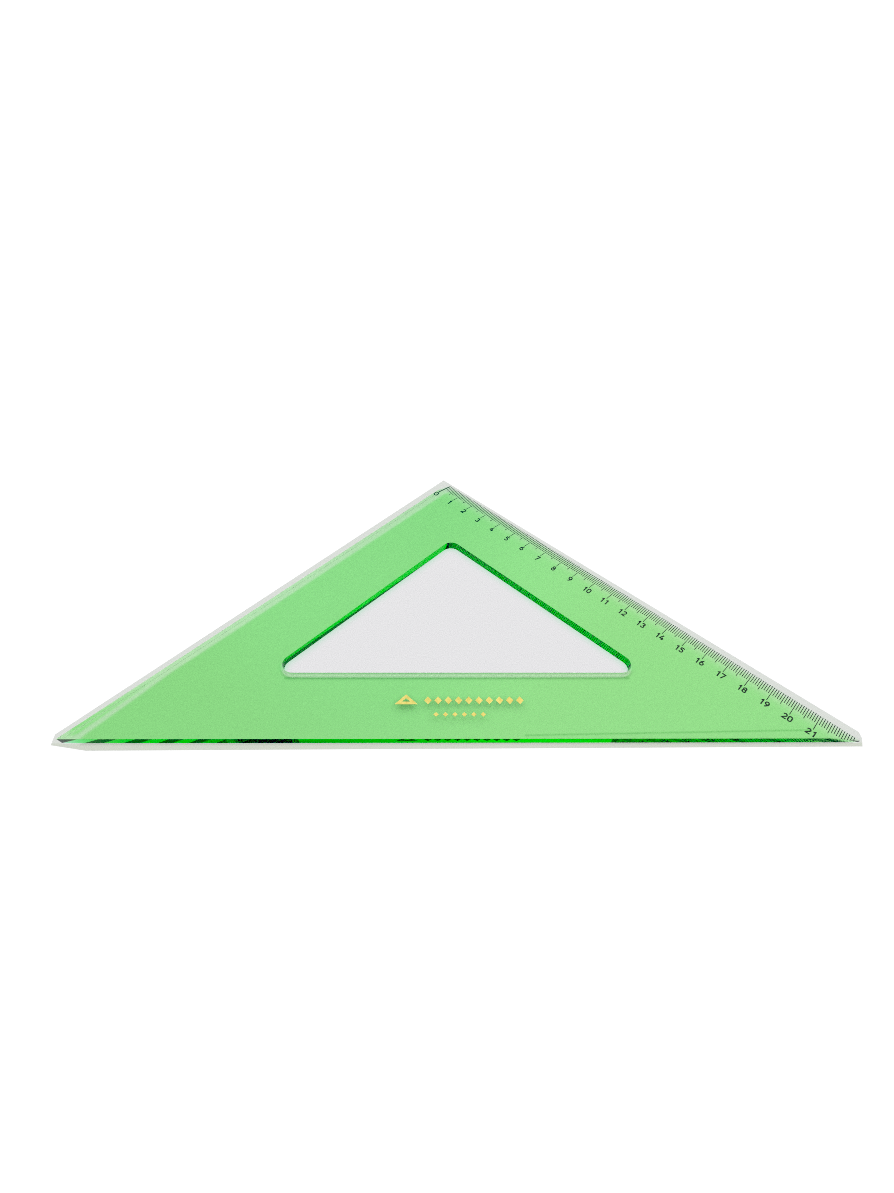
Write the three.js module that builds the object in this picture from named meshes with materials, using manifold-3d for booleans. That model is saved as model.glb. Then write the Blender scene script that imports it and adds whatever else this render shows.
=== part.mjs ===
// A 45-45-90 drafting set square in transparent green acrylic, in millimetres, +Z up.
// It lies flat: underside at z = 0, top face at z = THICKNESS. The hypotenuse runs along X on the
// -Y side, the right-angled corner points to +Y, and the origin is the centre of the bounding box
// on the underside. The leg on the +X side is bevelled on its top and carries a millimetre scale
// that starts at the right angle. Ink lies in shallow recesses in the underside, gold foil in
// shallow recesses in the top face.
//
// Outlines are drawn in the leg frame: the right-angled corner is the origin, the graduated leg
// runs along +x and the left leg along -y. The group turns that frame into the part's frame.
import * as THREE from "three";
import { mergeVertices } from "three/addons/utils/BufferGeometryUtils.js";
import Module from "manifold-3d";

// Sheet
const HYPOTENUSE = 320; // between the sharp corners
const LEG = HYPOTENUSE / Math.SQRT2;
const APEX = HYPOTENUSE / 2; // height of the sharp right-angled corner over the hypotenuse
const THICKNESS = 3.5;
const CORNER = { radius: 0.2, steps: 3 };
const BEVEL = { width: 10, edge: 1.2 }; // width square to the leg, height left standing at its edge

// Window: its sides run parallel to the outer ones at these distances
const BORDER = { left: 32, scale: 33.5, hypotenuse: 31.8 };
const WINDOW_CORNER = { radius: 4.8, steps: 8 };

// Inlays: ink and foil have the same thickness, and the same clearance on every side
const INLAY = 0.1;
const CLEARANCE = 0.02;
const RECESS = INLAY + 2 * CLEARANCE;

// Cutters run past the plate so that no faces coincide
const OVERCUT = 1;
const BEVEL_OVERRUN = 5; // of the bevel cutter, at each end of the leg

// Scale: the distances in LINE are measured from the graduated edge
const PITCH = 1;
const SCALE_ZERO = 0.18; // centre of the zero line, from the left leg
const LAST_LINE = 224;
const LINE = { width: 0.28, start: 0.25, endOne: 4.9, endFive: 6.5, endTen: 9 };
const RAIL_WIDTH = 0.1; // ink that joins the outer ends of the lines
const HYPOTENUSE_MARGIN = 0.3; // lines near the tip stop this far short, along the line

// Numerals
const NUMBER_EVERY = 10; // lines from one number to the next
const LAST_NUMBER = 21;
const NUMERAL_TOP = 9.4; // from the graduated edge
const DIGIT_PITCH = 2.25;
const LONE_ONE_SHIFT = 0.25; // the number 1 stands this far nearer the left leg
const GLYPH = { width: 1.95, height: 3.1, stroke: 0.5 };
const MIN_MITRE_COSINE = 0.5; // limits how far a sharp joint reaches
const ZERO_KEEP = { right: 10, top: 1, bottom: -20 }; // generous bounds around the clipped zero

// Foil, set out from the hypotenuse: x from its middle, y towards the right angle
const EMBLEM = { left: -27.6, right: -18, base: 16, height: 4.8, rim: 1.3 };
const LOZENGE_ROWS = [
  { name: "foil_mark_", digits: 2, from: -13.8, to: 24.1, count: 10, width: 3.1, height: 3.8, y: 17.9 },
  { name: "foil_dot_", digits: 1, from: -10.6, to: 8.6, count: 6, width: 2.2, height: 2.2, y: 11.2 },
];

// Materials
const acrylic = () =>
  new THREE.MeshStandardMaterial({
    color: 0x6fd36b,
    roughness: 0.06,
    metalness: 0,
    transparent: true,
    opacity: 0.55,
    side: THREE.DoubleSide,
  });
const ink = () => new THREE.MeshStandardMaterial({ color: 0x0c2a10, roughness: 0.5, metalness: 0 });
const gilt = () =>
  new THREE.MeshStandardMaterial({ color: 0xe3c553, roughness: 0.32, metalness: 0.9 });

// Solids
const wasm = await Module();
wasm.setup();

function toSolid(geometry) {
  // without normals and uvs, vertices at the same place merge into a closed surface
  geometry.deleteAttribute("normal");
  geometry.deleteAttribute("uv");
  const merged = mergeVertices(geometry, 1e-4);
  return new wasm.Manifold(
    new wasm.Mesh({
      numProp: 3,
      vertProperties: new Float32Array(merged.attributes.position.array),
      triVerts: new Uint32Array(merged.index.array),
    }),
  );
}

function toGeometry(solid) {
  const mesh = solid.getMesh();
  const indexed = new THREE.BufferGeometry();
  const positions = new Float32Array(mesh.vertProperties);
  indexed.setAttribute("position", new THREE.BufferAttribute(positions, 3));
  indexed.setIndex(new THREE.BufferAttribute(new Uint32Array(mesh.triVerts), 1));
  const flat = indexed.toNonIndexed();
  flat.computeVertexNormals();
  return flat;
}

const extrude = (shape, depth) =>
  new THREE.ExtrudeGeometry(shape, { depth, bevelEnabled: false, steps: 1 });

// A prism over a flat outline, from z = bottom to z = top.
function prism(outline, bottom, top, holes = []) {
  const shape = new THREE.Shape(outline);
  for (const hole of holes) shape.holes.push(new THREE.Path(hole));
  const geometry = extrude(shape, top - bottom);
  geometry.translate(0, 0, bottom);
  return toSolid(geometry);
}

// Each inlay is a prism, and so is the recess cut for it. Both call a drawing function
// draw(bottom, top, grow), where grow widens the outline on every side.
const inked = (draw) => draw(CLEARANCE, CLEARANCE + INLAY, 0);
const inkRecess = (draw) => draw(-OVERCUT, RECESS, CLEARANCE);
const foiled = (draw) => draw(THICKNESS - CLEARANCE - INLAY, THICKNESS - CLEARANCE, 0);
const foilRecess = (draw) => draw(THICKNESS - RECESS, THICKNESS + OVERCUT, CLEARANCE);

// Corners of the triangle whose sides lie inside the outer ones by these distances.
function triangle({ left, scale, hypotenuse }) {
  const reach = LEG - hypotenuse * Math.SQRT2;
  return [
    new THREE.Vector2(left, -scale),
    new THREE.Vector2(left, left - reach),
    new THREE.Vector2(reach - scale, -scale),
  ];
}

// A polygon with each corner turned into an arc.
function rounded(corners, { radius, steps }) {
  return corners.flatMap((corner, i) => {
    const previous = corners[(i + corners.length - 1) % corners.length];
    const next = corners[(i + 1) % corners.length];
    const back = previous.clone().sub(corner).normalize();
    const ahead = next.clone().sub(corner).normalize();
    const half = Math.acos(back.dot(ahead)) / 2;
    const inward = back.clone().add(ahead).normalize();
    const centre = corner.clone().addScaledVector(inward, radius / Math.sin(half));
    const start = corner.clone().addScaledVector(back, radius / Math.tan(half));
    const end = corner.clone().addScaledVector(ahead, radius / Math.tan(half));
    const startArm = start.clone().sub(centre);
    const endArm = end.sub(centre);
    const turn = Math.atan2(startArm.cross(endArm), startArm.dot(endArm));
    return Array.from({ length: steps + 1 }, (_, k) =>
      start.clone().rotateAround(centre, (turn * k) / steps),
    );
  });
}

// Graduation lines: a comb, joined by the rail along the graduated edge
function lineEnd(k) {
  if (k % 10 === 0) return LINE.endTen;
  return k % 5 === 0 ? LINE.endFive : LINE.endOne;
}

function comb(bottom, top, grow) {
  const half = LINE.width / 2 + grow;
  const railOuter = -(LINE.start - grow);
  const railInner = -(LINE.start + RAIL_WIDTH + grow);
  const points = [];
  for (let k = LAST_LINE; k >= 0; k--) {
    const x = SCALE_ZERO + k * PITCH;
    const room = LEG - x - LINE.width / 2 - HYPOTENUSE_MARGIN;
    const end = -(Math.min(lineEnd(k), room) + grow);
    if (k < LAST_LINE) points.push(new THREE.Vector2(x + half, railInner));
    points.push(new THREE.Vector2(x + half, end), new THREE.Vector2(x - half, end));
    if (k > 0) points.push(new THREE.Vector2(x - half, railInner));
  }
  points.push(
    new THREE.Vector2(SCALE_ZERO - half, railOuter),
    new THREE.Vector2(SCALE_ZERO + LAST_LINE * PITCH + half, railOuter),
  );
  return prism(points, bottom, top);
}

// Digits are drawn with a pen. Each is a list of strokes, given by centre lines of [x, y] from
// the glyph's lower left corner, with y towards the graduated edge.
const WIDE = GLYPH.width;
const TALL = GLYPH.height;
const PEN = GLYPH.stroke / 2; // half the stroke
const MID = WIDE / 2;
const BOWL = MID - PEN; // x radius of a full-width bowl

// Points of an elliptical arc, angles in degrees.
const arc = (centreX, centreY, radiusX, radiusY, from, to, steps) =>
  Array.from({ length: steps + 1 }, (_, i) => {
    const angle = THREE.MathUtils.degToRad(from + ((to - from) * i) / steps);
    return [centreX + radiusX * Math.cos(angle), centreY + radiusY * Math.sin(angle)];
  });
const line = (...points) => ({ closed: false, points });
const loop = (...points) => ({ closed: true, points });
const ring = (centreY, radiusY, radiusX = BOWL) =>
  loop(...arc(MID, centreY, radiusX, radiusY, 0, 330, 11));

const DIGITS = [
  // 0
  [
    loop(
      ...arc(MID, TALL - PEN - BOWL, BOWL, BOWL, 0, 180, 6),
      ...arc(MID, PEN + BOWL, BOWL, BOWL, 180, 360, 6),
    ),
  ],
  // 1
  [line([1.25, 0], [1.25, TALL]), line([0.55, TALL - 0.85], [1.25, TALL - 0.22])],
  // 2
  [
    line(...arc(MID, TALL - PEN - 0.72, BOWL, 0.72, 165, -30, 7), [PEN, PEN + 0.05]),
    line([0, PEN], [WIDE, PEN]),
  ],
  // 3
  [
    line(...arc(MID, TALL - PEN - 0.68, BOWL - 0.04, 0.68, 160, -90, 7)),
    line(...arc(MID, PEN + 0.72, BOWL, 0.72, 90, -160, 8)),
  ],
  // 4
  [line([1.2, TALL], [PEN, 0.92]), line([0, 0.92], [WIDE, 0.92]), line([1.35, 0], [1.35, 1.7])],
  // 5
  [
    line([WIDE - 0.1, TALL - PEN], [0.3, TALL - PEN]),
    line([0.42, TALL], [0.36, 1.72]),
    line(...arc(MID - 0.05, PEN + 0.82, BOWL + 0.02, 0.82, 125, -155, 9)),
  ],
  // 6
  [
    ring(PEN + 0.8, 0.8),
    line([PEN, PEN + 0.8], [0.32, 1.7], [0.72, 2.35], [1.35, TALL - 0.05]),
  ],
  // 7
  [line([0, TALL - PEN], [WIDE, TALL - PEN]), line([WIDE - PEN - 0.02, TALL - PEN], [0.62, 0])],
  // 8
  [ring(PEN + 0.74, 0.74), ring(TALL - PEN - 0.62, 0.62, BOWL - 0.1)],
  // 9
  [
    ring(TALL - PEN - 0.8, 0.8),
    line(
      [WIDE - PEN, TALL - PEN - 0.8],
      [WIDE - 0.32, TALL - 1.7],
      [WIDE - 0.72, TALL - 2.35],
      [WIDE - 1.35, 0.05],
    ),
  ],
];

// The centre line moved by the half width to each side, with mitred joints.
function strokeSides({ points, closed }, half) {
  const count = points.length;
  const pointAt = (i) => {
    const index = closed ? (i + count) % count : THREE.MathUtils.clamp(i, 0, count - 1);
    return new THREE.Vector2(...points[index]);
  };
  const left = [];
  const right = [];
  for (let i = 0; i < count; i++) {
    const point = pointAt(i);
    const before = point.clone().sub(pointAt(i - 1));
    const after = pointAt(i + 1).sub(point);
    // an open end has one neighbour only
    if (before.length() < 1e-9) before.copy(after);
    if (after.length() < 1e-9) after.copy(before);
    before.normalize();
    after.normalize();
    const along = before.clone().add(after).normalize();
    const reach = half / Math.max(MIN_MITRE_COSINE, along.dot(after));
    const offset = new THREE.Vector2(-along.y, along.x).multiplyScalar(reach);
    left.push(point.clone().add(offset));
    right.push(point.clone().sub(offset));
  }
  return [left, right];
}

// The point at distance beyond end, on the line that comes from its neighbour.
function lengthened(end, neighbour, distance) {
  const dx = end[0] - neighbour[0];
  const dy = end[1] - neighbour[1];
  const length = Math.hypot(dx, dy);
  return [end[0] + (dx * distance) / length, end[1] + (dy * distance) / length];
}

function strokePrism({ points, closed }, bottom, top, grow) {
  if (closed) {
    const size = (outline) => Math.abs(THREE.ShapeUtils.area(outline));
    const [left, right] = strokeSides({ points, closed }, PEN + grow);
    const [outside, inside] = size(left) > size(right) ? [left, right] : [right, left];
    return prism(outside, bottom, top, [inside]);
  }
  const longer = [
    lengthened(points[0], points[1], grow),
    ...points.slice(1, -1),
    lengthened(points.at(-1), points.at(-2), grow),
  ];
  const [left, right] = strokeSides({ points: longer, closed }, PEN + grow);
  return prism([...left, ...right.reverse()], bottom, top);
}

const drawDigit = (value, left) => (bottom, top, grow) =>
  DIGITS[value]
    .map(({ points, closed }) => {
      const moved = points.map(([x, y]) => [left + x, y - NUMERAL_TOP - TALL]);
      return strokePrism({ points: moved, closed }, bottom, top, grow);
    })
    .reduce((whole, part) => whole.add(part));

// Each digit is a piece of its own; two-digit numbers are named _a and _b.
function numeralPieces() {
  const pieces = [];
  for (let number = 0; number <= LAST_NUMBER; number++) {
    const text = String(number);
    const centre = SCALE_ZERO + number * NUMBER_EVERY * PITCH;
    const shift = number === 1 ? LONE_ONE_SHIFT : 0;
    [...text].forEach((character, i) => {
      const left = centre - MID + (i - (text.length - 1) / 2) * DIGIT_PITCH - shift;
      const suffix = text.length > 1 ? ["_a", "_b"][i] : "";
      pieces.push({
        name: `numeral_${text.padStart(2, "0")}${suffix}`,
        number,
        draw: drawDigit(Number(character), left),
      });
    });
  }
  return pieces;
}

// The zero is centred on the end of the scale, so the left leg cuts it.
function clipAtLeftLeg(solid) {
  const { right, top, bottom } = ZERO_KEEP;
  const outline = [
    new THREE.Vector2(CLEARANCE, top),
    new THREE.Vector2(CLEARANCE, bottom),
    new THREE.Vector2(right, bottom),
    new THREE.Vector2(right, top),
  ];
  return solid.intersect(prism(outline, -OVERCUT, OVERCUT));
}

// Foil
const fromHypotenuse = (x, y) =>
  new THREE.Vector2((x - (y - APEX)) / Math.SQRT2, (x + (y - APEX)) / Math.SQRT2);

const drawLozenge = ({ width, height, y }, x) => (bottom, top, grow) => {
  const scale = 1 + (2 * grow * Math.hypot(width, height)) / (width * height);
  const halfWidth = (width / 2) * scale;
  const halfHeight = (height / 2) * scale;
  const outline = [
    fromHypotenuse(x - halfWidth, y),
    fromHypotenuse(x, y - halfHeight),
    fromHypotenuse(x + halfWidth, y),
    fromHypotenuse(x, y + halfHeight),
  ];
  return prism(outline, bottom, top);
};

// The emblem's triangle, apex towards the right angle, with its sides moved in by inset.
function emblemTriangle(inset) {
  const { left, right, base, height } = EMBLEM;
  const half = (right - left) / 2;
  const side = Math.hypot(half, height);
  const baseInset = (inset * (side + half)) / height;
  return [
    fromHypotenuse(left + baseInset, base + inset),
    fromHypotenuse(right - baseInset, base + inset),
    fromHypotenuse((left + right) / 2, base + height - (inset * side) / half),
  ];
}

const drawEmblem = (bottom, top, grow) =>
  prism(emblemTriangle(-grow), bottom, top, [emblemTriangle(EMBLEM.rim + grow)]);

function foilPieces() {
  const pieces = [{ name: "foil_emblem", draw: drawEmblem }];
  for (const row of LOZENGE_ROWS) {
    for (let i = 0; i < row.count; i++) {
      const x = row.from + ((row.to - row.from) * i) / (row.count - 1);
      const label = String(i + 1).padStart(row.digits, "0");
      pieces.push({ name: row.name + label, draw: drawLozenge(row, x) });
    }
  }
  return pieces;
}

// Plate
function bevelCutter() {
  const slope = (THICKNESS - BEVEL.edge) / BEVEL.width;
  // profile: x square to the graduated edge and outwards, y up
  const profile = new THREE.Shape([
    new THREE.Vector2(OVERCUT, BEVEL.edge - slope * OVERCUT),
    new THREE.Vector2(OVERCUT, THICKNESS + OVERCUT),
    new THREE.Vector2(-BEVEL.width, THICKNESS + OVERCUT),
    new THREE.Vector2(-BEVEL.width, THICKNESS),
  ]);
  const geometry = extrude(profile, LEG + 2 * BEVEL_OVERRUN);
  const axes = [
    new THREE.Vector3(0, 1, 0),
    new THREE.Vector3(0, 0, 1),
    new THREE.Vector3(1, 0, 0),
  ];
  geometry.applyMatrix4(new THREE.Matrix4().makeBasis(...axes));
  geometry.translate(-BEVEL_OVERRUN, 0, 0);
  return toSolid(geometry);
}

function plateSolid(numerals, foils) {
  const outline = rounded(triangle({ left: 0, scale: 0, hypotenuse: 0 }), CORNER);
  const opening = rounded(triangle(BORDER), WINDOW_CORNER);
  let plate = prism(outline, 0, THICKNESS, [opening]);
  plate = plate.subtract(bevelCutter());
  plate = plate.subtract(inkRecess(comb));
  for (const { draw } of numerals) plate = plate.subtract(inkRecess(draw));
  for (const { draw } of foils) plate = plate.subtract(foilRecess(draw));
  return plate;
}

// Assembly
const roundedApex = APEX - CORNER.radius * (Math.SQRT2 - 1); // top of the rounded right angle
const setSquare = new THREE.Group();
setSquare.name = "set_square";
setSquare.rotation.z = -Math.PI / 4;
setSquare.position.set(0, APEX - roundedApex / 2, 0);

function place(name, solid, material) {
  const mesh = new THREE.Mesh(toGeometry(solid), material);
  mesh.name = name;
  setSquare.add(mesh);
}

const numerals = numeralPieces();
const foils = foilPieces();
place("graduation_lines", inked(comb), ink());
for (const { name, number, draw } of numerals) {
  place(name, number === 0 ? clipAtLeftLeg(inked(draw)) : inked(draw), ink());
}
for (const { name, draw } of foils) place(name, foiled(draw), gilt());
place("plate", plateSolid(numerals, foils), acrylic());

export default setSquare;
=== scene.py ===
import math

import bmesh
import bpy
from mathutils import Matrix, Vector


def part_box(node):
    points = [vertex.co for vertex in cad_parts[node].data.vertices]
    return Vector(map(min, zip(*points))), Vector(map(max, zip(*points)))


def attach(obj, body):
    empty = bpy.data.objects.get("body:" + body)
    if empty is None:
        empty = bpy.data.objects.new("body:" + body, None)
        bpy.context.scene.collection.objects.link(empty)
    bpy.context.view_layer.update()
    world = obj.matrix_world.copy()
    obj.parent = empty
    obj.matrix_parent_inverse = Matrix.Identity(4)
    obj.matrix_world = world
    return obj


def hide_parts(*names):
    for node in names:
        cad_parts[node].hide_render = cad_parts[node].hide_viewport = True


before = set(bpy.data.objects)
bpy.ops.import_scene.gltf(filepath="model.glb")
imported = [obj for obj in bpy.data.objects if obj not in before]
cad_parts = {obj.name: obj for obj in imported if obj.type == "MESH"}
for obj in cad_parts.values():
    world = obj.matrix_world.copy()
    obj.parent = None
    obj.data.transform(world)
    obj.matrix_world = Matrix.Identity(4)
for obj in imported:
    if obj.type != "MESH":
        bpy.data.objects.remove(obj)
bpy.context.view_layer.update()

MM = 0.001
FOIL_GAP = 0.03  # the sheet is this much thinner than the CAD's, so that the foil stands proud
plate_low, plate_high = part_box("plate")
THICKNESS = (plate_high.z - plate_low.z) / MM - FOIL_GAP

# Sheet
HYPOTENUSE = 320.0
LEG = HYPOTENUSE / math.sqrt(2)
APEX = HYPOTENUSE / 2  # from the hypotenuse to the sharp right angle
CORNER_R = 0.2
CENTRE_Y = (APEX - CORNER_R * (math.sqrt(2) - 1)) / 2
BEVEL_WIDTH = 10.0  # along the graduated leg
BEVEL_EDGE = 1.2  # thickness left at the leg
SLOPE = (THICKNESS - BEVEL_EDGE) / BEVEL_WIDTH
ARRIS = 0.05  # radius on each edge of the sheet
ARRIS_STEPS = 2
CORNER_STEPS = 12

# Window: width of the sheet left along the plain leg, the graduated leg and the hypotenuse
BORDER_LEFT, BORDER_SCALE, BORDER_HYP = 32.0, 33.5, 31.8
WINDOW_R = 4.8
WINDOW_STEPS = 32

# Scale: one line every millimetre along the graduated leg
SCALE_ZERO, LAST_LINE, LINE_WIDTH = 0.18, 224, 0.28
LINE_ONE, LINE_FIVE, LINE_TEN = 4.9, 6.5, 9.0
LINE_START = 0.06
ZERO_START = 0.25  # the zero line stops short of the sheet's rounded corner
HYP_MARGIN = 0.3
INK_LOW, INK_HIGH = -0.008, 0.02

# Shade: a stand-in for the sheet that tints the light on the floor.
# (along, across) in the leg frame, from the right angle down the plain leg and back along the
# hypotenuse; the second and seventh points lie on the bevel's ridge.
SHADE_OUTLINE = [
    (3.2, -1.2), (3.15, -10.0), (2.0, -177.0), (3.2, -197.0),
    (4.3, -217.0), (5.0, -220.77), (215.57, -10.0), (224.37, -1.2),
]
SHADE_MARKS = {"apex": 0, "ridge_left": 1, "left": 5, "ridge_right": 6, "right": 7}
SHADE_SLIVER = [(0.2, -180.0), (0.2, -222.5), (1.9, -219.5)]  # by the plain leg's sharp corner
SHADE_GAP, SHADE_GAP_HYP = 1.0, 0.9  # from the window's leg sides and its hypotenuse side
SHADE_STEPS = 12
SHADE_LOW = 0.5  # height over the floor
SHADE_THIN = 0.2  # share of the sheet's own thickness
GLOW_GROW = 0.05  # the glow strip's distance outside the window
GLOW_TOP_GAP = 0.3
STRIP_FOOT = 0.05  # underside of the glow strip and the streaks
WINDOW_STREAK_OUT = 1.3  # from the window's hypotenuse side towards the hypotenuse
WINDOW_STREAK_SHORT = 6.5  # each end falls short of the window's corner lines by this much
WINDOW_STREAK_TOP = 1.25
HYP_STREAK = [(128.83, -93.48), (209.4, -10.0)]
HYP_STREAK_TOP = 0.7
WALL_SLOT, GLOW_SLOT, STREAK_SLOT = 1, 2, 3

# Colours
SHEET_TINT = (0.233, 0.942, 0.098, 1)
SHADE_TINT = (0.233, 0.925, 0.098, 1)
SHEET_DENSITY = 165.0  # absorption per metre is density x (1 - tint)
CARD = (0.80, 0.795, 0.805, 1)
# painted shade on the floor round the sheet: a grey band with a faint green tint, and in front of
# the hypotenuse a darker, greener painted shadow of the sheet
RIM_PAINTED_SHADE = (0.725, 0.75, 0.71, 1)
FRONT_PAINTED_SHADOW = (0.65, 0.685, 0.60, 1)
TABLE = (0.18, 0.18, 0.175, 1)
WHITE = (1, 1, 1, 1)
BACKDROP = 1.1  # strength of the white that the camera sees round the card

# Floor
FLOOR_HALF = 30000.0
FLOOR_Z = -0.03
# The card's sides: outward normal, distance from the origin
CARD_SIDES = [
    ((-0.71146, 0.70273, 0), 63.28),  # along the plain leg
    ((0.69944, 0.71469, 0), 59.76),  # along the graduated leg
    ((0.00478, -0.99999, 0), 82.51),  # along the hypotenuse
    ((-0.16456, -0.98637, 0), 106.67),  # the rest clip the corners
    ((0.92848, -0.37139, 0), 179.75),
    ((-1, 0, 0), 164.0),
    ((1, 0, 0), 162.3),
]

# Patches of light in the room: direction, outer and inner angle in degrees, strength, colour
ROOM_BASE = 0.16
ROOM_PATCHES = [
    ((0, 0, 1), 90, 30, 0.15, WHITE),
    ((0, 0, -1), 108, 94, 0.8, WHITE),
    ((0, 0.05, 1), 30, 12, 0.75, WHITE),
    ((-0.6, 0.8, 1.0), 40, 10, 0.2, WHITE),
    ((0, -0.8, 0.6), 72, 25, 1.0, WHITE),
    ((0.52, 0.45, 0.7), 36, 14, 0.85, (1.0, 0.86, 0.78, 1)),
    ((-0.05, 0.8, 0.58), 30, 12, 0.45, (0.2, 1.0, 0.75, 1)),
]

# Camera: its axes in the row frame, and its place
CAMERA_RIGHT = (0.99996991, -0.00452357, 0.00630140)
CAMERA_UP = (0.00125565, 0.89603765, 0.44397631)
CAMERA_BEHIND = (-0.00765465, -0.44395504, 0.89601637)
CAMERA_PLACE = Vector((-17.83739, -82.00466 - CENTRE_Y, 160.70299)) * MM


# ---------------------------------------------------------------- outlines
def row(along, across, z):
    """A point of the leg frame in the row frame.

    along runs from the right angle down the graduated leg; across is negative into the sheet.
    """
    k = math.sqrt(0.5)
    return Vector((k * (along + across), k * (across - along) + APEX - CENTRE_Y, z)) * MM


def height(across):
    """Thickness of the sheet, which the bevel thins towards the graduated leg."""
    return min(THICKNESS, BEVEL_EDGE + SLOPE * max(0.0, -across))


def corners(left, scale, hyp):
    """Sharp corners of the outline moved in from each side: right angle, left and right."""
    reach = LEG - hyp * math.sqrt(2)
    return [Vector((left, -scale)), Vector((left, left - reach)), Vector((reach - scale, -scale))]


def rounded(points, radius, steps):
    """Each corner of the polygon as its own arc: a list of lists of points."""
    arcs = []
    for i, corner in enumerate(points):
        back = (points[i - 1] - corner).normalized()
        ahead = (points[(i + 1) % len(points)] - corner).normalized()
        half = math.acos(back.dot(ahead)) / 2
        centre = corner + (back + ahead).normalized() * (radius / math.sin(half))
        start = corner + back * (radius / math.tan(half)) - centre
        end = corner + ahead * (radius / math.tan(half)) - centre
        turn = math.atan2(start.x * end.y - start.y * end.x, start.dot(end))
        arc = []
        for k in range(steps + 1):
            cos, sin = math.cos(turn * k / steps), math.sin(turn * k / steps)
            spoke = Vector((start.x * cos - start.y * sin, start.x * sin + start.y * cos))
            arc.append(centre + spoke)
        arcs.append(arc)
    return arcs


# An outline is its points and its marks: the indices of named points on it.
def outer_outline(inset):
    """The sheet's outline moved in, with a point where the bevel's ridge meets each side."""
    steps = CORNER_STEPS
    apex, left, right = rounded(corners(inset, inset, inset), CORNER_R - inset, steps)
    reach = LEG - inset * math.sqrt(2)
    ridge_left = Vector((inset, -BEVEL_WIDTH))
    ridge_right = Vector((reach - BEVEL_WIDTH, -BEVEL_WIDTH))
    marks = {
        "apex": steps // 2,
        "ridge_left": steps + 1,
        "left": steps + 2 + steps // 2,
        "ridge_right": 2 * steps + 3,
        "right": 2 * steps + 4 + steps // 2,
    }
    return apex + [ridge_left] + left + [ridge_right] + right, marks


def window_outline(grow, steps, grow_hyp=None):
    """The window's outline moved out, by grow_hyp on the hypotenuse side if that is given."""
    if grow_hyp is None:
        grow_hyp = grow
    sharp = corners(BORDER_LEFT - grow, BORDER_SCALE - grow, BORDER_HYP - grow_hyp)
    apex, left, right = rounded(sharp, WINDOW_R + grow, steps)
    marks = {
        "apex": steps // 2,
        "left": steps + 1 + steps // 2,
        "right": 2 * steps + 2 + steps // 2,
    }
    # the window's corners also face the ends of the bevel's ridge
    marks["ridge_left"] = marks["apex"]
    marks["ridge_right"] = marks["right"]
    return apex + left + right, marks


# ---------------------------------------------------------------- mesh helpers
def level(bm, points, z, share=0.0):
    """Vertices at z plus a share of the sheet's thickness there."""
    return [bm.verts.new(row(p.x, p.y, z + share * height(p.y))) for p in points]


def walls(bm, low, high, closed=True):
    """The quads between two rows of vertices."""
    count = len(low)
    return [
        bm.faces.new((low[i], low[(i + 1) % count], high[(i + 1) % count], high[i]))
        for i in range(count if closed else count - 1)
    ]


def run(ring, start, end, step=1):
    """The vertices of a ring (vertices, marks) from one mark to another inclusive."""
    verts, marks = ring
    i = marks[start]
    out = [verts[i]]
    while i != marks[end]:
        i = (i + step) % len(verts)
        out.append(verts[i])
    return out


def flat_faces(bm, outer, window, spans):
    """A face between the outer ring and the window for each span of marks."""
    for start, end in spans:
        bm.faces.new(run(outer, start, end) + run(window, end, start, -1))


def bevel_faces(bm, outer, window):
    """The flat top between the ridge and the window, then the bevel. Returns the ridge's ends."""
    verts, marks = outer
    ridge = [verts[marks["ridge_right"]], verts[marks["ridge_left"]]]
    bm.faces.new(ridge + run(window, "apex", "right", -1))
    bm.faces.new(run(outer, "ridge_right", "ridge_left"))
    return ridge


def add_object(name, data):
    ob = bpy.data.objects.new(name, data)
    bpy.context.scene.collection.objects.link(ob)
    return ob


def add_mesh(name, bm):
    mesh = bpy.data.meshes.new(name)
    bm.to_mesh(mesh)
    bm.free()
    return add_object(name, mesh)


# ---------------------------------------------------------------- pieces
def build_plate():
    bm = bmesh.new()
    arris = []  # (inset, distance from the underside or the top), from the flat to the side
    for k in range(ARRIS_STEPS + 1):
        angle = math.pi / 2 * k / ARRIS_STEPS
        arris.append((ARRIS * (1 - math.sin(angle)), ARRIS * (1 - math.cos(angle))))

    def rings(outline):
        low = [level(bm, outline(inset)[0], z) for inset, z in arris]
        high = [level(bm, outline(inset)[0], -z, share=1.0) for inset, z in reversed(arris)]
        return low + high, outline(0.0)[1]

    outer, outer_marks = rings(outer_outline)
    window, window_marks = rings(lambda inset: window_outline(inset, WINDOW_STEPS))
    for stack in (outer, window):
        for low, high in zip(stack, stack[1:]):
            walls(bm, low, high)
    flat_faces(bm, (outer[0], outer_marks), (window[0], window_marks),
               [("apex", "left"), ("left", "right"), ("right", "apex")])
    top = (outer[-1], outer_marks), (window[-1], window_marks)
    flat_faces(bm, *top, [("ridge_left", "left"), ("left", "ridge_right")])
    ridge = set(bevel_faces(bm, *top))
    bmesh.ops.recalc_face_normals(bm, faces=bm.faces)
    for face in bm.faces:
        face.smooth = True
    for edge in bm.edges:
        if set(edge.verts) == ridge:
            edge.smooth = False
    ob = add_mesh("plate_polished", bm)
    weigh = ob.modifiers.new("even_faces", "WEIGHTED_NORMAL")
    weigh.mode = "FACE_AREA"
    weigh.weight = 100
    weigh.keep_sharp = True
    return ob


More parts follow.
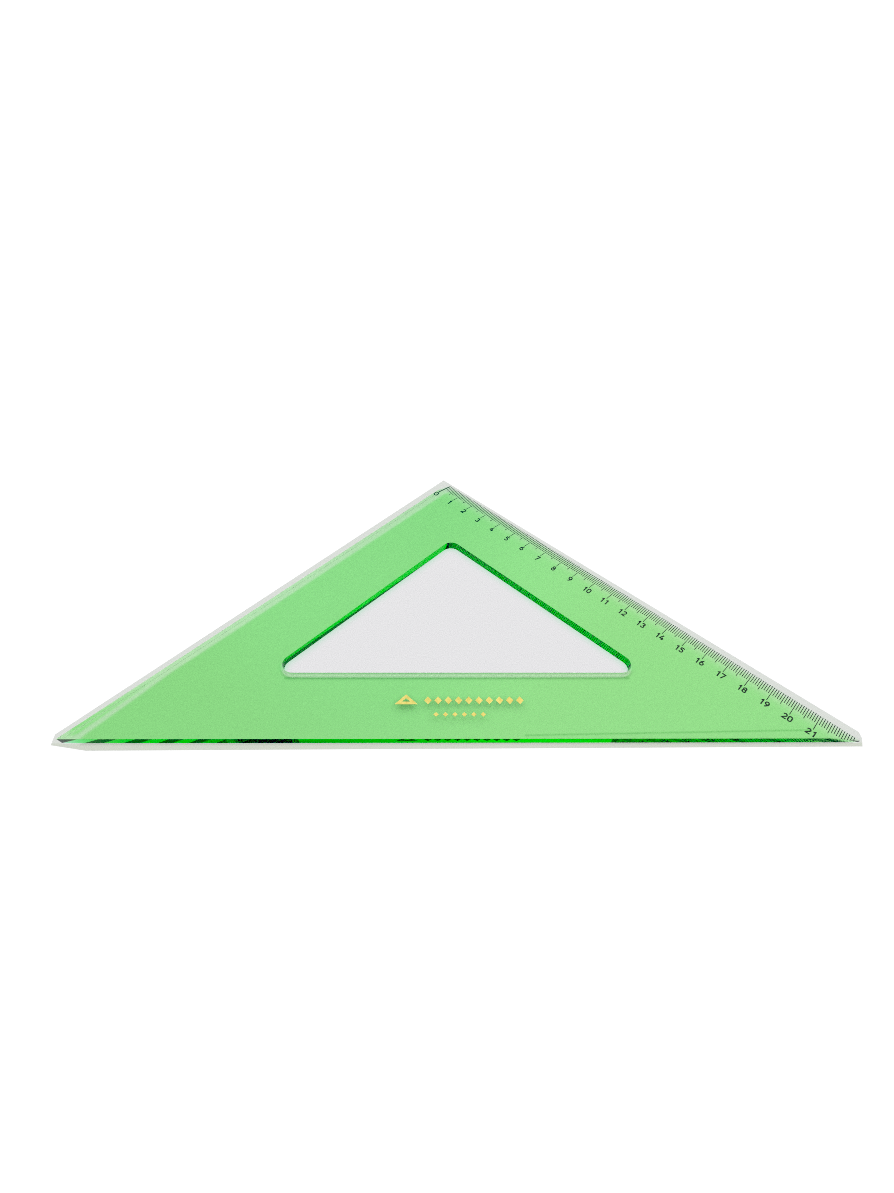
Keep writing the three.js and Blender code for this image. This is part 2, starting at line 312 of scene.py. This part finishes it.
def build_lines():
    """The separate printed lines of the scale, clipped square short of the hypotenuse."""
    bm = bmesh.new()
    half = LINE_WIDTH / 2
    for k in range(LAST_LINE + 1):
        middle = SCALE_ZERO + k
        wanted = LINE_TEN if k % 10 == 0 else LINE_FIVE if k % 5 == 0 else LINE_ONE
        end = min(wanted, LEG - middle - half - HYP_MARGIN)
        start = LINE_START if k else ZERO_START
        quad = [
            Vector((middle - half, -start)), Vector((middle - half, -end)),
            Vector((middle + half, -end)), Vector((middle + half, -start)),
        ]
        low, high = level(bm, quad, INK_LOW), level(bm, quad, INK_HIGH)
        bm.faces.new(low)
        bm.faces.new(high)
        walls(bm, low, high)
    bmesh.ops.recalc_face_normals(bm, faces=bm.faces)
    return add_mesh("scale_lines", bm)


def shade_body(bm):
    """The stand-in's main part. Its sides along the hypotenuse are darker."""
    outline = [Vector(p) for p in SHADE_OUTLINE]
    window, window_marks = window_outline(SHADE_GAP, SHADE_STEPS, SHADE_GAP_HYP)
    outer_low = level(bm, outline, SHADE_LOW)
    outer_high = level(bm, outline, SHADE_LOW, SHADE_THIN)
    window_low = level(bm, window, SHADE_LOW)
    window_high = level(bm, window, SHADE_LOW, SHADE_THIN)
    for low, high, marks in (
        (outer_low, outer_high, SHADE_MARKS),
        (window_low, window_high, window_marks),
    ):
        for face in walls(bm, low, high)[marks["left"]:marks["right"]]:
            face.material_index = WALL_SLOT
    flat_faces(bm, (outer_low, SHADE_MARKS), (window_low, window_marks),
               [("left", "right"), ("apex", "left"), ("right", "apex")])
    top = (outer_high, SHADE_MARKS), (window_high, window_marks)
    flat_faces(bm, *top, [("left", "ridge_right"), ("ridge_left", "left")])
    bevel_faces(bm, *top)


def shade_sliver(bm):
    sliver = [Vector(p) for p in SHADE_SLIVER]
    low, high = level(bm, sliver, SHADE_LOW), level(bm, sliver, SHADE_LOW, SHADE_THIN)
    bm.faces.new(low)
    bm.faces.new(high)
    walls(bm, low, high)


def shade_glow(bm):
    """An upright strip round the window's two leg sides, for a green glow on the floor."""
    points, marks = window_outline(GLOW_GROW, SHADE_STEPS)
    side = points[marks["right"]:] + points[:marks["left"] + 1]
    foot, head = level(bm, side, STRIP_FOOT), level(bm, side, THICKNESS - GLOW_TOP_GAP)
    for face in walls(bm, foot, head, closed=False):
        face.material_index = GLOW_SLOT


def shade_streaks(bm):
    """Upright strips that darken the floor beside the window and inside the hypotenuse."""
    beside_window = corners(
        BORDER_LEFT + WINDOW_STREAK_SHORT,
        BORDER_SCALE + WINDOW_STREAK_SHORT,
        BORDER_HYP - WINDOW_STREAK_OUT,
    )[1:]
    inside_hyp = [Vector(p) for p in HYP_STREAK]
    for ends, top in ((beside_window, WINDOW_STREAK_TOP), (inside_hyp, HYP_STREAK_TOP)):
        verts = level(bm, ends, STRIP_FOOT) + level(bm, ends[::-1], top)
        bm.faces.new(verts).material_index = STREAK_SLOT


def build_shade():
    """A flat stand-in, some way inside the sheet, that only tints light falling on the floor.

    Light that comes in through the sheet's own edges reaches the floor inside them nearly white.
    """
    bm = bmesh.new()
    shade_body(bm)
    shade_sliver(bm)
    bmesh.ops.recalc_face_normals(bm, faces=bm.faces)
    shade_glow(bm)
    shade_streaks(bm)
    return add_mesh("sheet_shade", bm)


# ---------------------------------------------------------------- node helpers
def node(tree, kind, inputs=None, **properties):
    """A node with its properties set, and each input set to a value or linked from a socket."""
    made = tree.nodes.new(kind)
    for key, value in properties.items():
        setattr(made, key, value)
    for key, value in (inputs or {}).items():
        if isinstance(value, bpy.types.NodeSocket):
            tree.links.new(value, made.inputs[key])
        else:
            made.inputs[key].default_value = value
    return made


def new_material(name):
    material = bpy.data.materials.new(name)
    material.use_nodes = True
    material.node_tree.nodes.clear()
    return material, material.node_tree


def noise(tree, where, scale, detail):
    inputs = {"Vector": where, "Scale": scale, "Detail": detail}
    return node(tree, "ShaderNodeTexNoise", inputs).outputs["Fac"]


def remap(tree, value, start=0.0, end=1.0, low=0.0, high=1.0, shape="LINEAR"):
    """The value's range from start to end, mapped to low to high."""
    inputs = {"Value": value, "From Min": start, "From Max": end, "To Min": low, "To Max": high}
    return node(tree, "ShaderNodeMapRange", inputs, interpolation_type=shape).outputs["Result"]


def ramp(tree, factor, *stops):
    """A colour ramp through two stops of (position, colour)."""
    made = node(tree, "ShaderNodeValToRGB", {"Fac": factor})
    for element, (position, colour) in zip(made.color_ramp.elements, stops):
        element.position = position
        element.color = colour
    return made.outputs["Color"]


def bump(tree, value, strength, distance):
    inputs = {"Height": value, "Strength": strength, "Distance": distance}
    return node(tree, "ShaderNodeBump", inputs).outputs["Normal"]


def mix_colour(tree, factor, first, second):
    inputs = {"Factor": factor, "A": first, "B": second}
    return node(tree, "ShaderNodeMix", inputs, data_type="RGBA").outputs["Result"]


def mix_shader(tree, factor, first, second):
    inputs = {"Fac": factor, 1: first, 2: second}
    return node(tree, "ShaderNodeMixShader", inputs).outputs[0]


def absorption(tree, colour, density):
    inputs = {"Color": colour, "Density": density}
    return node(tree, "ShaderNodeVolumeAbsorption", inputs).outputs["Volume"]


# ---------------------------------------------------------------- materials
def acrylic():
    material, tree = new_material("acrylic_green")
    where = node(tree, "ShaderNodeTexCoord").outputs["Object"]
    # faint handling haze: very fine rubbing on the faces, in patches
    patches = noise(tree, where, scale=22.0, detail=3.0)
    haze = remap(tree, patches, start=0.35, end=0.75, low=0.004, high=0.03)
    # the cast sheet's slow ripple
    ripple = noise(tree, where, scale=45.0, detail=2.0)
    surface = node(tree, "ShaderNodeBsdfPrincipled", {
        "Base Color": WHITE,
        "Transmission Weight": 1.0,
        "IOR": 1.49,
        "Roughness": haze,
        "Normal": bump(tree, ripple, strength=0.03, distance=0.0006),
    })
    node(tree, "ShaderNodeOutputMaterial", {
        "Surface": surface.outputs["BSDF"],
        "Volume": absorption(tree, SHEET_TINT, SHEET_DENSITY),
    })
    return material


def ink():
    """Green-black ink, finely mottled."""
    material, tree = new_material("ink_green_black")
    where = node(tree, "ShaderNodeTexCoord").outputs["Object"]
    mottle = noise(tree, where, scale=900.0, detail=2.0)
    colour = ramp(tree, mottle, (0.3, (0.002, 0.055, 0.003, 1)), (0.8, (0.004, 0.085, 0.006, 1)))
    surface = node(tree, "ShaderNodeBsdfPrincipled", {"Base Color": colour, "Roughness": 0.55})
    node(tree, "ShaderNodeOutputMaterial", {"Surface": surface.outputs["BSDF"]})
    return material


def foil():
    """Gold foil; one fine grain drives its colour, roughness and relief."""
    material, tree = new_material("foil_gold")
    where = node(tree, "ShaderNodeTexCoord").outputs["Object"]
    grain = noise(tree, where, scale=700.0, detail=4.0)
    colour = ramp(tree, grain, (0.3, (0.70, 0.57, 0.14, 1)), (0.7, (0.82, 0.69, 0.22, 1)))
    surface = node(tree, "ShaderNodeBsdfPrincipled", {
        "Base Color": colour,
        "Metallic": 0.45,
        "Roughness": remap(tree, grain, low=0.28, high=0.5),
        "Normal": bump(tree, grain, strength=0.15, distance=0.00005),
    })
    node(tree, "ShaderNodeOutputMaterial", {"Surface": surface.outputs["BSDF"]})
    return material


def shade_material(name, colour, filled=True):
    """Clear faces that tint what passes; filled adds the sheet's absorption inside them."""
    material, tree = new_material(name)
    surface = node(tree, "ShaderNodeBsdfTransparent", {"Color": colour})
    output = {"Surface": surface.outputs[0]}
    if filled:
        output["Volume"] = absorption(tree, SHADE_TINT, SHEET_DENSITY / SHADE_THIN)
    node(tree, "ShaderNodeOutputMaterial", output)
    return material


def distance_outside(tree, place, sides):
    """Metres beyond a convex outline, given as sides of (outward normal, distance)."""
    furthest = None
    for normal, offset in sides:
        dot = node(tree, "ShaderNodeVectorMath", {0: place, 1: normal}, operation="DOT_PRODUCT")
        inputs = {0: dot.outputs["Value"], 1: offset * MM}
        beyond = node(tree, "ShaderNodeMath", inputs, operation="SUBTRACT").outputs[0]
        if furthest is None:
            first = furthest = beyond
        else:
            inputs = {0: furthest, 1: beyond}
            furthest = node(tree, "ShaderNodeMath", inputs, operation="MAXIMUM").outputs[0]
    return furthest, first


def floor_material():
    """Pale card under the set square, painted shade on the card just around it that is darkest as
    a painted shadow in front of the hypotenuse, and a brighter white further out.
    """
    material, tree = new_material("floor_pale")
    place = node(tree, "ShaderNodeNewGeometry").outputs["Position"]
    camera_ray = node(tree, "ShaderNodeLightPath").outputs["Is Camera Ray"]
    k = math.sqrt(0.5)
    sheet_sides = [
        ((0, -1, 0), CENTRE_Y),
        ((-k, k, 0), k * (APEX - CENTRE_Y)),
        ((k, k, 0), k * (APEX - CENTRE_Y)),
    ]
    past_card, _ = distance_outside(tree, place, CARD_SIDES)
    past_sheet, past_hyp = distance_outside(tree, place, sheet_sides)
    # each edge between tones fades over a fraction of a millimetre
    off_sheet = remap(tree, past_sheet, start=-0.2 * MM, end=0.4 * MM, shape="SMOOTHSTEP")
    in_front_shadow = remap(tree, past_hyp, start=-0.5 * MM, end=0.5 * MM)
    off_card = remap(tree, past_card, start=-0.25 * MM, end=0.25 * MM, shape="SMOOTHSTEP")
    # the painted shade round the sheet, which turns into the darker painted shadow in front of the
    # hypotenuse
    painted_rim_shade = mix_colour(tree, in_front_shadow, RIM_PAINTED_SHADE, FRONT_PAINTED_SHADOW)
    # only the camera sees the painted shade round the sheet; glass and light see a dim table all
    # round the sheet
    margin = mix_colour(tree, camera_ray, TABLE, painted_rim_shade)
    card = mix_colour(tree, off_sheet, CARD, margin)
    surface = node(tree, "ShaderNodeBsdfPrincipled", {
        "Base Color": mix_colour(tree, off_card, card, TABLE),
        "Roughness": 0.9,
        "Specular IOR Level": 0.1,
    })
    # seen directly, the floor beyond the card is plain white
    white = node(tree, "ShaderNodeMath", {0: off_card, 1: camera_ray}, operation="MULTIPLY")
    glow = node(tree, "ShaderNodeEmission", {"Strength": BACKDROP})
    shader = mix_shader(tree, white.outputs[0], surface.outputs["BSDF"], glow.outputs[0])
    node(tree, "ShaderNodeOutputMaterial", {"Surface": shader})
    return material


# ---------------------------------------------------------------- product
plate = build_plate()
plate.data.materials.append(acrylic())
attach(plate, "root")
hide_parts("plate")

INK = ink()
lines = build_lines()
lines.data.materials.append(INK)
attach(lines, "root")
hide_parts("graduation_lines")

FOIL = foil()
stamped = []
for name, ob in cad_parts.items():
    if name.startswith(("numeral_", "foil_")):
        stamped.append(ob)
        for slot in ob.material_slots:
            slot.link = "OBJECT"
            slot.material = INK if name.startswith("numeral_") else FOIL

# ---------------------------------------------------------------- stage
# Light for the floor goes through the shade, and sight lines go through the sheet itself.
shade = build_shade()
for material in (
    shade_material("shade_faces", WHITE),
    shade_material("shade_walls", (0.1, 0.5, 0.1, 1)),
    shade_material("shade_glow", (0.45, 0.97, 0.62, 1), filled=False),
    shade_material("shade_streak", (0.03, 0.48, 0.03, 1), filled=False),
):
    shade.data.materials.append(material)
shade.visible_camera = shade.visible_glossy = shade.visible_transmission = False
plate.visible_diffuse = False


def build_floor():
    mesh = bpy.data.meshes.new("floor")
    signs = [(-1, -1), (1, -1), (1, 1), (-1, 1)]
    verts = [(x * FLOOR_HALF * MM, y * FLOOR_HALF * MM, FLOOR_Z * MM) for x, y in signs]
    mesh.from_pydata(verts, [], [(0, 1, 2, 3)])
    mesh.materials.append(floor_material())
    return add_object("floor", mesh)


floor = build_floor()


def room_patch(tree, where, towards, outer, inner, strength, colour):
    """A soft round patch of light: full inside inner degrees of the direction, none past outer."""
    inputs = {0: where, 1: Vector(towards).normalized()}
    dot = node(tree, "ShaderNodeVectorMath", inputs, operation="DOT_PRODUCT")
    start, end = math.cos(math.radians(outer)), math.cos(math.radians(inner))
    fade = remap(tree, dot.outputs["Value"], start, end, high=strength, shape="SMOOTHSTEP")
    return background(tree, colour, fade)


def background(tree, colour, strength):
    inputs = {"Color": colour, "Strength": strength}
    return node(tree, "ShaderNodeBackground", inputs).outputs[0]


def build_room():
    """A dim room with a bright band at the horizon and soft patches round about.

    It is what the sheet mirrors and what shows through its edges; it doesn't light the floor.
    """
    world = bpy.data.worlds.new("studio")
    bpy.context.scene.world = world
    world.use_nodes = True
    world.cycles_visibility.diffuse = False
    tree = world.node_tree
    tree.nodes.clear()
    where = node(tree, "ShaderNodeTexCoord").outputs["Generated"]
    light = background(tree, WHITE, ROOM_BASE)
    for patch in ROOM_PATCHES:
        inputs = {0: light, 1: room_patch(tree, where, *patch)}
        light = node(tree, "ShaderNodeAddShader", inputs).outputs[0]
    camera_ray = node(tree, "ShaderNodeLightPath").outputs["Is Camera Ray"]
    shader = mix_shader(tree, camera_ray, light, background(tree, WHITE, BACKDROP))
    node(tree, "ShaderNodeOutputWorld", {"Surface": shader})


def build_lamp():
    """A very soft lamp overhead; everything but the sheet throws its shadows."""
    data = bpy.data.lights.new("overhead", "SUN")
    data.angle = math.radians(100)
    data.energy = 3.15
    lamp = add_object("overhead", data)
    lamp.rotation_euler = (math.radians(-8), 0, 0)
    lamp.visible_camera = lamp.visible_glossy = lamp.visible_transmission = False
    blockers = bpy.data.collections.new("lamp_blockers")
    for ob in [shade, floor, lines] + stamped:
        blockers.objects.link(ob)
    lamp.light_linking.blocker_collection = blockers


def set_render(scene):
    view = scene.view_settings
    view.view_transform = "Standard"
    view.look = "None"
    view.exposure = 0.0
    view.gamma = 1.0
    # the tones are stretched a little, so the darkest greens lose their grey
    view.use_curve_mapping = True
    view.curve_mapping.black_level = (0.043, 0.035, 0.022)
    view.curve_mapping.update()
    cycles = scene.cycles
    cycles.use_denoising = False
    cycles.sampling_pattern = "BLUE_NOISE"
    # light runs a long way inside the sheet before it leaves by an edge
    cycles.max_bounces = 128
    cycles.transmission_bounces = 128
    cycles.glossy_bounces = 128
    cycles.diffuse_bounces = 4
    cycles.filter_width = 0.9


def build_camera():
    data = bpy.data.cameras.new("camera")
    data.sensor_fit = "AUTO"
    data.sensor_width = 36.0
    data.lens = 13.5713663
    data.shift_x = 0.0212321878
    data.shift_y = 0.127166806
    data.clip_start, data.clip_end = 0.005, 100.0
    camera = add_object("camera", data)
    axes = Matrix((CAMERA_RIGHT, CAMERA_UP, CAMERA_BEHIND)).transposed()
    camera.matrix_world = Matrix.Translation(CAMERA_PLACE) @ axes.to_4x4()
    return camera


build_room()
build_lamp()
set_render(bpy.context.scene)
bpy.context.scene.camera = build_camera()
